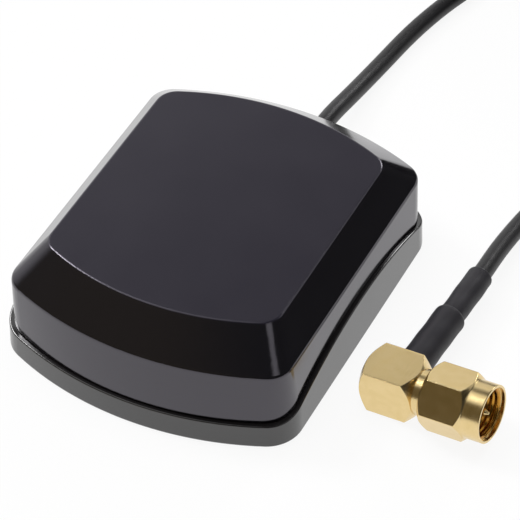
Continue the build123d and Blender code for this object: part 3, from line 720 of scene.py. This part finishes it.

# %% [markdown]
# ## Moulded ABS
# The case is black ABS from a polished mould, so its sides mirror the ground and the dark
# room. The flat top was eroded very finely in the mould, which leaves a satin sheen. Its
# slightly lighter, violet black is painted reflection of the dim room that the top mirrors.
# Real moulded walls are never quite flat, so a slow waviness a few hundredths of a
# millimetre deep is added, with a fine grain on the top. Both are too shallow to model, so
# they only bend the light.

# %% Cover plastic
top_starts, top_full = 15.8, 15.98
wave_size, grain_size, smudge_size = 9.0, 0.16, 6.0
cover_plastic, shader = new_material("abs_black_polished_moulding", "#121114", 0.12, ior=1.54)
shader.inputs["Specular IOR Level"].default_value = 0.86
shader.inputs["Specular Tint"].default_value = (0.93, 0.88, 1.0, 1.0)
place = add_node(cover_plastic, "TexCoord").outputs["Object"]
height = add_node(cover_plastic, "SeparateXYZ", {"Vector": place}).outputs["Z"]
on_top = add_node(
    cover_plastic,
    "MapRange",
    {"Value": height, 1: top_starts * mm, 2: top_full * mm},
    interpolation_type="SMOOTHSTEP",
).outputs[0]
wave = add_node(
    cover_plastic, "TexNoise", {"Vector": place, "Scale": per_mm / wave_size, "Detail": 1.0}
).outputs[0]
grain = add_node(
    cover_plastic, "TexNoise", {"Vector": place, "Scale": per_mm / grain_size, "Detail": 1.0}
).outputs[0]
smudge = add_node(
    cover_plastic, "TexNoise", {"Vector": place, "Scale": per_mm / smudge_size, "Detail": 2.0}
).outputs[0]
side_gloss = add_node(
    cover_plastic, "MapRange", {"Value": smudge, 1: noise_low, 2: noise_high, 3: 0.1, 4: 0.14}
).outputs[0]
top_gloss = add_node(
    cover_plastic, "MapRange", {"Value": smudge, 1: noise_low, 2: noise_high, 3: 0.25, 4: 0.27}
).outputs[0]
gloss = add_node(
    cover_plastic, "Mix", {0: on_top, 2: side_gloss, 3: top_gloss}, data_type="FLOAT"
).outputs[0]
# Painted reflection: the top gets a lighter, violet black in place of the dim room it mirrors.
tone = add_node(
    cover_plastic, "Mix", {0: on_top, 6: linear("#121114"), 7: linear("#181620")}, data_type="RGBA"
).outputs[2]
wavy = add_node(cover_plastic, "Bump", {"Height": wave, "Distance": 0.02 * mm}).outputs[0]
grain_depth = add_node(
    cover_plastic, "Math", {0: grain, 1: on_top}, operation="MULTIPLY"
).outputs[0]
grainy = add_node(
    cover_plastic, "Bump", {"Height": grain_depth, "Distance": 0.006 * mm, "Normal": wavy}
).outputs[0]
wire(cover_plastic, shader, Base_Color=tone, Roughness=gloss, Normal=grainy)
print(cover_plastic.name, len(cover_plastic.node_tree.nodes), "nodes")

# %% [markdown]
# The base is a separate moulding, less polished and a touch greyer, so it mirrors the same
# ground a little more softly.

# %% Base plastic
base_plastic, shader = new_material("abs_black_base_moulding", "#1E1C1D", 0.14, ior=1.54)
shader.inputs["Specular IOR Level"].default_value = 0.9
place = add_node(base_plastic, "TexCoord").outputs["Object"]
wave = add_node(
    base_plastic, "TexNoise", {"Vector": place, "Scale": per_mm / 8.0, "Detail": 1.0}
).outputs[0]
gloss = add_node(
    base_plastic, "MapRange", {"Value": wave, 1: noise_low, 2: noise_high, 3: 0.12, 4: 0.18}
).outputs[0]
tone = add_node(
    base_plastic, "Mix", {0: wave, 6: linear("#1B191A"), 7: linear("#222021")}, data_type="RGBA"
).outputs[2]
wavy = add_node(base_plastic, "Bump", {"Height": wave, "Distance": 0.015 * mm}).outputs[0]
wire(base_plastic, shader, Base_Color=tone, Roughness=gloss, Normal=wavy)
print(base_plastic.name, len(base_plastic.node_tree.nodes), "nodes")

# %% [markdown]
# ## Gold plate
# The plug is turned and milled brass with a thin plate of gold. The plate follows the tool
# marks under it, so the mirror is broken by a fine grain and by turning rings about the
# plug's axis. The rings are real, about 0.1 mm apart, and are drawn a little coarser. The
# distance along the axis is the dot product of the place with the axis, so the rings need
# no unwrapped surface. In the nut's bore
# light goes from wall to wall and comes out a deeper gold, and that colour is laid on a
# ring of places: between two distances from the axis, and only from the chamber forward.

# %% Gold
ring_gap, cloud_size, speck_size = 0.14, 1.2, 0.2
gold_plate, shader = new_material("gold_plate_on_turned_brass", "#E7CC94", 0.3, metallic=1.0)
place = add_node(gold_plate, "TexCoord").outputs["Object"]
along_plug = add_node(
    gold_plate, "VectorMath", {0: place, 1: tuple(plug_axis)}, operation="DOT_PRODUCT"
).outputs["Value"]
rings = add_node(
    gold_plate,
    "TexNoise",
    {"W": along_plug, "Scale": per_mm / ring_gap, "Detail": 2.0},
    noise_dimensions="1D",
).outputs[0]
cloud = add_node(
    gold_plate, "TexNoise", {"Vector": place, "Scale": per_mm / cloud_size, "Detail": 4.0}
).outputs[0]
speck = add_node(
    gold_plate, "TexNoise", {"Vector": place, "Scale": per_mm / speck_size, "Detail": 0.0}
).outputs[0]
gloss = add_node(
    gold_plate, "MapRange", {"Value": cloud, 1: noise_low, 2: noise_high, 3: 0.2, 4: 0.26}
).outputs[0]
pale = add_node(
    gold_plate, "Mix", {0: cloud, 6: linear("#DFC488"), 7: linear("#EFD6A2")}, data_type="RGBA"
).outputs[2]
from_middle = add_node(
    gold_plate, "VectorMath", {0: place, 1: tuple(plug_middle * mm)}, operation="SUBTRACT"
).outputs["Vector"]
across = add_node(
    gold_plate, "VectorMath", {0: from_middle, 1: tuple(plug_axis)}, operation="CROSS_PRODUCT"
).outputs["Vector"]
off_axis = add_node(gold_plate, "VectorMath", {0: across}, operation="LENGTH").outputs["Value"]
past_pin = add_node(
    gold_plate, "MapRange", {"Value": off_axis, 1: 2.5 * mm, 2: 2.7 * mm}
).outputs[0]
in_bore = add_node(
    gold_plate, "MapRange", {"Value": off_axis, 1: 3.45 * mm, 2: 3.2 * mm}
).outputs[0]
bore_start = float((plug_middle + (thread_end - 1.0) * plug_axis) @ plug_axis) * mm
in_nut = add_node(
    gold_plate, "MapRange", {"Value": along_plug, 1: bore_start, 2: bore_start + 0.2 * mm}
).outputs[0]
ring_share = add_node(
    gold_plate, "Math", {0: past_pin, 1: in_bore}, operation="MULTIPLY"
).outputs[0]
deep_share = add_node(
    gold_plate, "Math", {0: ring_share, 1: in_nut}, operation="MULTIPLY"
).outputs[0]
tone = add_node(
    gold_plate, "Mix", {0: deep_share, 6: pale, 7: linear("#C08A38")}, data_type="RGBA"
).outputs[2]
ringed = add_node(gold_plate, "Bump", {"Height": rings, "Distance": 0.0012 * mm}).outputs[0]
specked = add_node(
    gold_plate, "Bump", {"Height": speck, "Distance": 0.001 * mm, "Normal": ringed}
).outputs[0]
wire(gold_plate, shader, Base_Color=tone, Roughness=gloss, Normal=specked)
print(gold_plate.name, len(gold_plate.node_tree.nodes), "nodes")

# %% [markdown]
# ## Cable jacket, shrunk sleeve and rubber
# The jacket is extruded PVC, smooth with a dull shine. The sleeves are polyolefin tube that
# was shrunk by heat: a little rougher and a little greyer. The grommet is moulded rubber and
# the dullest of the three. They differ only in numbers, so one function makes all three.

# %% Dark soft plastics
def soft_black(name, dark, light, low, high, lump_mm, relief_mm, ior):
    """A dark plastic whose tone and shine drift over lumps of a given size, with fine pores
    of a tenth of a millimetre."""
    material, shader = new_material(name, dark, low, ior=ior)
    place = add_node(material, "TexCoord").outputs["Object"]
    drift = add_node(
        material, "TexNoise", {"Vector": place, "Scale": per_mm / lump_mm, "Detail": 3.0}
    ).outputs[0]
    fine = add_node(
        material, "TexNoise", {"Vector": place, "Scale": per_mm / 0.1, "Detail": 2.0}
    ).outputs[0]
    tone = add_node(
        material, "Mix", {0: drift, 6: linear(dark), 7: linear(light)}, data_type="RGBA"
    ).outputs[2]
    gloss = add_node(
        material, "MapRange", {"Value": drift, 1: noise_low, 2: noise_high, 3: low, 4: high}
    ).outputs[0]
    relief = add_node(material, "Bump", {"Height": drift, "Distance": relief_mm * mm}).outputs[0]
    pores = add_node(
        material, "Bump", {"Height": fine, "Distance": 0.004 * mm, "Normal": relief}
    ).outputs[0]
    wire(material, shader, Base_Color=tone, Roughness=gloss, Normal=pores)
    print(name, len(material.node_tree.nodes), "nodes")
    return material


jacket = soft_black("pvc_black_extruded_jacket", "#151416", "#1C1B1D", 0.4, 0.5, 6.0, 0.02, 1.53)
shrunk_tube = soft_black(
    "polyolefin_black_heat_shrunk", "#1F1D22", "#27252A", 0.46, 0.56, 1.6, 0.02, 1.49
)
grommet_rubber = soft_black(
    "rubber_black_moulded", "#131313", "#1A1A1A", 0.55, 0.68, 1.2, 0.01, 1.52
)

# %% [markdown]
# ## Woven strap
# Hook-and-loop strap is woven nylon. Its ribs run along it, about 0.5 mm apart, and the
# cross threads show between them. Across the strap the pattern follows X. Along it, Y plus
# Z grows on its level sides as on its upright ones, so one wave serves all four. Modelled
# threads would take thousands of faces and barely show.

# %% Strap weave
rib_gap = 0.5
thread_gap = 0.45
full_turn = 2 * math.pi
strap_weave, shader = new_material("nylon_black_hook_and_loop", "#151517", 0.8)
shader.inputs["Sheen Weight"].default_value = 0.25
place = add_node(strap_weave, "TexCoord").outputs["Object"]
split = add_node(strap_weave, "SeparateXYZ", {"Vector": place}).outputs
along_strap = add_node(
    strap_weave, "Math", {0: split["Y"], 1: split["Z"]}, operation="ADD"
).outputs[0]
rib_turn = add_node(
    strap_weave, "Math", {0: split["X"], 1: full_turn * per_mm / rib_gap}, operation="MULTIPLY"
).outputs[0]
thread_turn = add_node(
    strap_weave, "Math", {0: along_strap, 1: full_turn * per_mm / thread_gap}, operation="MULTIPLY"
).outputs[0]
rib = add_node(strap_weave, "Math", {0: rib_turn}, operation="SINE").outputs[0]
cross_thread = add_node(strap_weave, "Math", {0: thread_turn}, operation="SINE").outputs[0]
weave = add_node(strap_weave, "Math", {0: rib, 1: cross_thread}, operation="MULTIPLY").outputs[0]
fuzz = add_node(
    strap_weave, "TexNoise", {"Vector": place, "Scale": per_mm / 0.25, "Detail": 3.0}
).outputs[0]
tone = add_node(
    strap_weave, "Mix", {0: fuzz, 6: linear("#0F0F10"), 7: linear("#232326")}, data_type="RGBA"
).outputs[2]
woven = add_node(strap_weave, "Bump", {"Height": weave, "Distance": 0.05 * mm}).outputs[0]
fuzzy = add_node(
    strap_weave, "Bump", {"Height": fuzz, "Distance": 0.06 * mm, "Normal": woven}
).outputs[0]
wire(strap_weave, shader, Base_Color=tone, Normal=fuzzy)
print(strap_weave.name, len(strap_weave.node_tree.nodes), "nodes")

# %% [markdown]
# ## The pieces inside and below
# Nothing of these shows in the picture, but the case can be opened. Each gets the finish of
# its real material: green solder mask, fired ceramic, tinned sheet, foam, nickel and zinc.
# One plain recipe serves them all, since they are seen seldom and small.

# %% Inner materials
def mottled(name, dark, light, low, high, lump_mm, metallic=0.0, relief_mm=0.005, ior=1.5):
    """A material whose tone, shine and relief follow one noise."""
    material, shader = new_material(name, light, low, metallic, ior)
    place = add_node(material, "TexCoord").outputs["Object"]
    drift = add_node(
        material, "TexNoise", {"Vector": place, "Scale": per_mm / lump_mm, "Detail": 4.0}
    ).outputs[0]
    tone = add_node(
        material, "Mix", {0: drift, 6: linear(dark), 7: linear(light)}, data_type="RGBA"
    ).outputs[2]
    gloss = add_node(
        material, "MapRange", {"Value": drift, 1: noise_low, 2: noise_high, 3: low, 4: high}
    ).outputs[0]
    relief = add_node(material, "Bump", {"Height": drift, "Distance": relief_mm * mm}).outputs[0]
    wire(material, shader, Base_Color=tone, Roughness=gloss, Normal=relief)
    return material


finishes = {
    "magnet": mottled("nickel_plated_magnet", "#B9B6AE", "#CDCAC2", 0.2, 0.34, 1.5, 1.0),
    "base_screws": mottled("zinc_plated_steel", "#A9AAAC", "#C4C5C8", 0.25, 0.4, 0.6, 1.0),
    "circuit_board": mottled(
        "solder_mask_on_laminate", "#0B4A22", "#126032", 0.25, 0.4, 3.0, ior=1.55
    ),
    "ceramic_patch": mottled("ceramic_fired", "#BDB5A2", "#CFC8B7", 0.5, 0.65, 0.8, ior=1.7),
    "feed_pin": mottled("tinned_brass_pin", "#BDB8AC", "#D2CEC4", 0.28, 0.4, 0.4, 1.0),
    "foam_pad": mottled(
        "foam_closed_cell", "#1D1D1E", "#2E2E30", 0.8, 0.95, 0.5, relief_mm=0.12
    ),
    "shield_can": mottled("tinned_sheet_pressed", "#BFBDB8", "#D4D2CD", 0.28, 0.42, 2.0, 1.0),
    "amplifier_chip": mottled("epoxy_chip_moulded", "#17171A", "#222226", 0.45, 0.6, 0.2),
    "band_filter": mottled("epoxy_filter_moulded", "#1B1A18", "#272623", 0.45, 0.6, 0.2),
    "chip_capacitors": mottled("ceramic_chip_capacitor", "#7A5C3E", "#957250", 0.4, 0.55, 0.2),
    "cable_tail": jacket,
    "plug_core": mottled("polyethylene_core", "#CFCCC2", "#DEDBD2", 0.4, 0.5, 1.0),
    "insulator": mottled("fluoropolymer_turned", "#D8D6CF", "#E6E4DE", 0.35, 0.5, 0.5),
    "snap_ring": mottled("bronze_spring_ring", "#A5793F", "#BF9350", 0.3, 0.4, 0.4, 1.0),
    "face_seal": mottled("silicone_red_moulded", "#8E1F17", "#A32A20", 0.45, 0.6, 0.5),
    "cable_grommet": grommet_rubber,
    "base": base_plastic,
    "cover": cover_plastic,
    "elbow_cap": gold_plate,
    "crimp_ferrule": gold_plate,
}
for name, material in finishes.items():
    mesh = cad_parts[name].data
    mesh.materials.clear()
    mesh.materials.append(material)
for piece, material in (
    (cable, jacket),
    (nut, gold_plate),
    (elbow, gold_plate),
    (pin, gold_plate),
    (wide_sleeve, shrunk_tube),
    (narrow_sleeve, shrunk_tube),
    (strap, strap_weave),
):
    piece.data.materials.append(material)
print("finished nodes", len(finishes))

# %% [markdown]
# ## Ground and light
# The picture was taken on white paper in a dim room. Black plastic mirrors the white ground
# on its walls and, on its top, a pale wall behind the table, while all that stood on the
# camera's side was dark. The paper is a plain pale floor, wide enough to show no edge. Seen
# directly or in a mirror it is nearly white, and otherwise it is a matt sheet that takes the
# soft shadow.

# %% Floor
floor_half = 1500
glow_part = 0.9
floor_corners = floor_half * np.array([[(-1, -1, 0), (1, -1, 0)], [(-1, 1, 0), (1, 1, 0)]], float)
floor = surface_piece("floor", grid_part(floor_corners, around=False))
paper, shader = new_material("paper_white_backdrop", "#F2F2F2", 0.9)
rays = add_node(paper, "LightPath").outputs
seen = add_node(
    paper, "Math", {0: rays["Is Camera Ray"], 1: rays["Is Glossy Ray"]}, operation="MAXIMUM"
).outputs[0]
glow_share = add_node(paper, "Math", {0: seen, 1: glow_part}, operation="MULTIPLY").outputs[0]
glow = add_node(paper, "Emission", {"Color": (1, 1, 1, 1), "Strength": 1.0}).outputs[0]
paper_mix = add_node(paper, "MixShader", {0: glow_share, 1: shader.outputs[0], 2: glow}).outputs[0]
paper.node_tree.links.new(paper_mix, paper.node_tree.nodes["Material Output"].inputs[0])
floor.data.materials.append(paper)

# %% [markdown]
# The world is the room, and it is what the gloss and the gold mirror. It is dim, with a pale
# wall behind to the left that darkens towards the ceiling and keeps one pale patch there, a
# lit part of the ceiling, a window to the right and three small lamps, whose images are the
# light lines on the cover's rounded edges. A faint warm glow comes from the camera's side.
# Each is a lobe: the dot product of the ray with the lobe's middle, turned into a share that
# rises softly from its rim to where it is full. So each can be placed by itself where the
# object shows a reflection. Seen directly the world is white.

# %% Room
world = bpy.data.worlds.new("room")
scene.world = world
world.use_nodes = True
direction = add_node(world, "TexCoord").outputs["Generated"]
steepness = add_node(world, "SeparateXYZ", {"Vector": direction}).outputs["Z"]
below_ceiling = add_node(
    world,
    "MapRange",
    {"Value": steepness, 1: 0.56, 2: 0.65, 3: 1.0, 4: 0.1},
    interpolation_type="SMOOTHSTEP",
).outputs[0]
# Each lobe: middle, dot product at the rim and where it is full, light, and what limits it.
lobes = {
    "pale wall": ((-0.75, 0.6, 0.28), 0.55, 0.9, (0.77, 0.77, 0.77), below_ceiling),
    "ceiling": ((-0.4, 0.0, 0.92), 0.9, 0.97, (0.8, 0.8, 0.8), 1.0),
    "patch on the wall": ((-0.56, 0.64, 0.53), 0.975, 0.995, (0.75, 0.75, 0.75), 1.0),
    "window": ((0.55, 0.6, 0.58), 0.93, 0.98, (0.6, 0.6, 0.6), 1.0),
    "left lamp": ((-0.68, 0.02, 0.73), 0.985, 0.995, (22.0, 22.0, 22.0), 1.0),
    "right lamp": ((0.5, -0.2, 0.84), 0.975, 0.995, (0.9, 0.9, 0.9), 1.0),
    "far lamp": ((0.08, 0.9, 0.43), 0.985, 0.995, (8.0, 8.0, 8.0), 1.0),
    "warm glow": ((-0.5, -0.8, 0.33), 0.6, 0.95, (0.085, 0.065, 0.03), 1.0),
}
sky = (0.04, 0.04, 0.04)
for middle, rim, full, light, limit in lobes.values():
    toward = add_node(
        world, "VectorMath", {0: direction, 1: middle}, operation="DOT_PRODUCT"
    ).outputs["Value"]
    share = add_node(
        world,
        "MapRange",
        {"Value": toward, 1: rim, 2: full, 3: 0.0, 4: 1.0},
        interpolation_type="SMOOTHSTEP",
    ).outputs[0]
    limited = add_node(world, "Math", {0: share, 1: limit}, operation="MULTIPLY").outputs[0]
    glow = add_node(
        world, "VectorMath", {0: light, "Scale": limited}, operation="SCALE"
    ).outputs["Vector"]
    sky = add_node(world, "VectorMath", {0: sky, 1: glow}, operation="ADD").outputs["Vector"]
rays = add_node(world, "LightPath").outputs
room = add_node(
    world, "Mix", {0: rays["Is Camera Ray"], 6: sky, 7: linear("#FFFFFF")}, data_type="RGBA"
).outputs[2]
world.node_tree.links.new(room, world.node_tree.nodes["Background"].inputs["Color"])
print("room of", len(lobes), "lobes")

# %% [markdown]
# One wide lamp overhead gives the matt surfaces their light. A small one would throw a hard
# shadow, and this one throws a soft one. It is not mirrored, because the ceiling in the room
# already is.

# %% Lamp
lamp = bpy.data.lights.new("overhead_light", "AREA")
lamp.shape = "SQUARE"
lamp.size = 900 * mm
lamp.energy = 6.3
overhead = bpy.data.objects.new("overhead_light", lamp)
overhead.location = (-0.1, 0.0, 0.95)
overhead.visible_glossy = False
scene.collection.objects.link(overhead)
print("lamp of", round(lamp.energy, 1), "W")

# %% [markdown]
# ## Last update
# The view layer is brought up to date once more.

bpy.context.view_layer.update()
